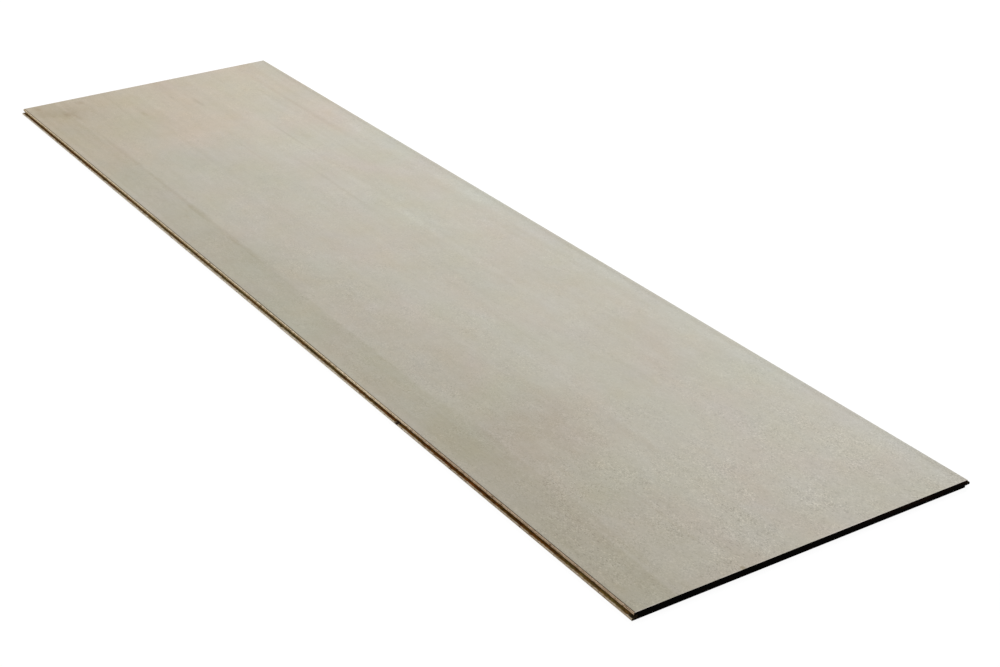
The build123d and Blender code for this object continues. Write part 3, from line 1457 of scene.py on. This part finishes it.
@dataclass
class DarkEnd:
    """Near-black sheet on the near end, partly a dark seal and partly painted shade, from the
    side of the front lip to the tongue.
    """

    panel: Panel
    finish: DarkSealAndShade = field(default_factory=DarkSealAndShade)
    depth: float = 0.25 * MM
    inset: float = 0.03 * MM
    edge_step: float = 1.0 * MM
    grid_step: float = 1.6 * MM
    long_count: int = 200
    reach: float = 0.9
    grain_depth: float = 0.05 * MM
    grain_cell: Pair = (4.0 * MM, 1.1 * MM)
    rim_grain: float = 0.4
    # Bake map, in shares of its side: start and height of the front's and the
    # back's strip, and the lower and upper end of the rim's.
    map_left: float = 0.01
    map_width: float = 0.98
    front_strip: Pair = (0.02, 0.60)
    rim_strip: Pair = (0.68, 0.74)
    back_strip: Pair = (0.80, 0.18)
    sharp: float = 30.0
    seed: int = 41

    def outline(self) -> np.ndarray:
        """Outline of the dark end: the section without the back lip.

        Returns:
            Points of the outline, anticlockwise.
        """
        s = self.panel.section
        lip, shoulder = s.front_lip_x, s.front_shoulder_x
        groove = s.groove_side(self.edge_step)
        return np.concatenate([
            straight((lip, 0.0), (s.back_shoulder_x - s.back_radius, 0.0), self.long_count),
            s.tongue_side(self.edge_step),
            straight((shoulder, s.tongue_high_z), (shoulder, s.thickness - s.front_radius), 4),
            s.face_line(0.0, self.long_count, self.reach),
            straight(s.bevel_point(1.0), (lip, s.groove_high_z), 4),
            groove[groove[:, 0] > lip - 0.01 * MM],
            straight((lip, s.groove_low_z), (lip, 0.0), 3),
        ])

    def bake_map(self, points: np.ndarray, triangles: np.ndarray,
                 rim: np.ndarray) -> np.ndarray:
        """Map of the dark end: front below, back on top and the rim as a strip between.

        Args:
            points: Points of one side.
            triangles: Triangles of one side.
            rim: Points of the outline.

        Returns:
            Places on the map, in the order of the corners of the piece's faces.
        """
        left, width = self.map_left, self.map_width
        spread = (points - points.min(0)) / np.ptp(points, axis=0) * (width, 1.0)
        edge = distances(side_lengths(rim))
        first, second = edge[:-1], edge[1:]
        around = left + width * np.stack([first, first, second, second], 1) / edge[-1]
        low, high = self.rim_strip
        height = np.broadcast_to((low, high, high, low), around.shape)
        front, back = (spread * (1, tall) + (left, start)
                       for start, tall in (self.front_strip, self.back_strip))
        return np.concatenate([
            front[triangles].reshape(-1, 2), back[triangles[:, ::-1]].reshape(-1, 2),
            np.stack([around, height], axis=2).reshape(-1, 2)])

    def build(self) -> bpy.types.Object:
        """Make the dark end as a thin closed plate with sawn grain on it, and dress it.

        Returns:
            The dark end.
        """
        half, ring = self.panel.half_length, self.outline()
        rim = ring - ring_normals(ring) * self.inset
        points, triangles = filled_outline(rim, self.grid_step)
        around, count = len(rim), len(points)
        grain = lattice_noise(points[:, 0] + ACROSS_SHIFT, points[:, 1], *self.grain_cell,
                              self.seed)
        grain[:around] *= self.rim_grain
        front = np.stack([points[:, 0], grain * self.grain_depth - half, points[:, 1]], axis=1)
        back = front.copy()
        back[:, 1] = self.depth - half
        i = np.arange(around)
        k = (i + 1) % around
        sides = np.stack([i, i + count, k + count, k], axis=1)
        piece = mesh_object("dark_end", np.concatenate([front, back]),
                            [triangles, triangles[:, ::-1] + count, sides], self.sharp)
        add_bake_map(piece, self.bake_map(points, triangles, rim))
        return dress(piece, self.finish.build(self.panel, "dark_seal_and_shade"))


# ---------------------------------------------------------------------------
# Studio
# ---------------------------------------------------------------------------


@dataclass
class Studio:
    """Pale floor, soft light and the camera of the photograph."""

    floor_half: float = 14.0
    floor_colour: float = 0.80
    floor_seen_colour: float = 0.15
    floor_glow: float = 0.90
    sky_strength: float = 0.66
    lamp_place: Triple = (2.4, 1.2, 2.1)
    lamp_target: Triple = (0.1, -0.1, 0.0)
    lamp_size: float = 1.8
    lamp_power: float = 68.0
    camera_place: Triple = (-1.55415, -2.87952, 1.48324)
    camera_azimuth: float = 31.8755
    camera_depression: float = 26.7401
    camera_roll: float = 1.0305
    camera_lens: float = 67.052
    camera_sensor: float = 36.0

    def floor(self) -> None:
        """Make the floor, white where the camera sees it lit."""
        h = self.floor_half
        corners = np.array([(-h, -h, 0.0), (h, -h, 0.0), (h, h, 0.0), (-h, h, 0.0)])
        piece = mesh_object("floor", corners, [np.arange(4)[None]], 30.0)
        white = Material("studio_white", 0.9, 0.0)
        seen = white.seen()
        wide, close = ((grey, grey, grey, 1.0)
                       for grey in (self.floor_colour, self.floor_seen_colour))
        white.set(Base_Color=white.mix(seen, wide, close), Emission_Color=(1.0, 1.0, 1.0, 1.0),
                  Emission_Strength=seen * self.floor_glow)
        piece.data.materials.append(white.made)

    def sky(self) -> None:
        """Light the scene evenly from all round, and show white behind the floor."""
        world = bpy.data.worlds.new("soft_sky")
        bpy.context.scene.world = world
        world.use_nodes = True
        n = Nodes(world.node_tree)
        strength = n.seen() * (1.0 - self.sky_strength) + self.sky_strength
        background = n.add("Background", {"Color": (1.0, 1.0, 1.0, 1.0), "Strength": strength})
        n.add("OutputWorld", {"Surface": Value(n, background.outputs[0])})

    def lamp(self) -> None:
        """Hang the large soft lamp beyond the far right of the panel."""
        data = bpy.data.lights.new("soft_lamp", "AREA")
        data.shape = "SQUARE"
        data.size = self.lamp_size
        data.energy = self.lamp_power
        lamp = bpy.data.objects.new("soft_lamp", data)
        lamp.location = self.lamp_place
        aim = Vector(self.lamp_target) - Vector(self.lamp_place)
        lamp.rotation_euler = aim.to_track_quat("-Z", "Y").to_euler()
        bpy.context.scene.collection.objects.link(lamp)

    def camera(self) -> None:
        """Set up the camera at the photograph's place and angle.

        The view direction is azimuth degrees from +Y towards +X and depression
        degrees below level, and the roll dips the right side of the picture.
        """
        azimuth, down, roll = (math.radians(a) for a in (
            self.camera_azimuth, self.camera_depression, self.camera_roll))
        forward = Vector((math.sin(azimuth) * math.cos(down),
                          math.cos(azimuth) * math.cos(down), -math.sin(down)))
        level = Vector((math.cos(azimuth), -math.sin(azimuth), 0.0))
        up = level.cross(forward)
        right = level * math.cos(roll) - up * math.sin(roll)
        data = bpy.data.cameras.new("camera")
        data.lens = self.camera_lens
        data.sensor_width = self.camera_sensor
        data.sensor_fit = "HORIZONTAL"
        data.clip_end = 100.0
        camera = bpy.data.objects.new("camera", data)
        turned = Matrix((right, right.cross(forward), -forward)).transposed()
        camera.matrix_world = Matrix.Translation(self.camera_place) @ turned.to_4x4()
        bpy.context.scene.collection.objects.link(camera)
        bpy.context.scene.camera = camera

    def build(self) -> None:
        """Build the floor, the light and the camera."""
        for part in (self.floor, self.sky, self.lamp, self.camera):
            part()
        bpy.context.scene.view_settings.view_transform = "Standard"


def main() -> None:
    """Build the panel on its floor."""
    logging.basicConfig(level=logging.INFO, format="%(name)s %(message)s")
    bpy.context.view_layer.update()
    low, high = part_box(PANEL_NODE)
    Studio().build()
    panel = Panel(PanelSection(), (high.y - low.y) / 2, Effects())
    for assembly in (Board, PrintedFace, DarkEnd):
        piece = assembly(panel).build()
        LOG.info("built %s", piece.name)


if __name__ == "__main__":
    main()
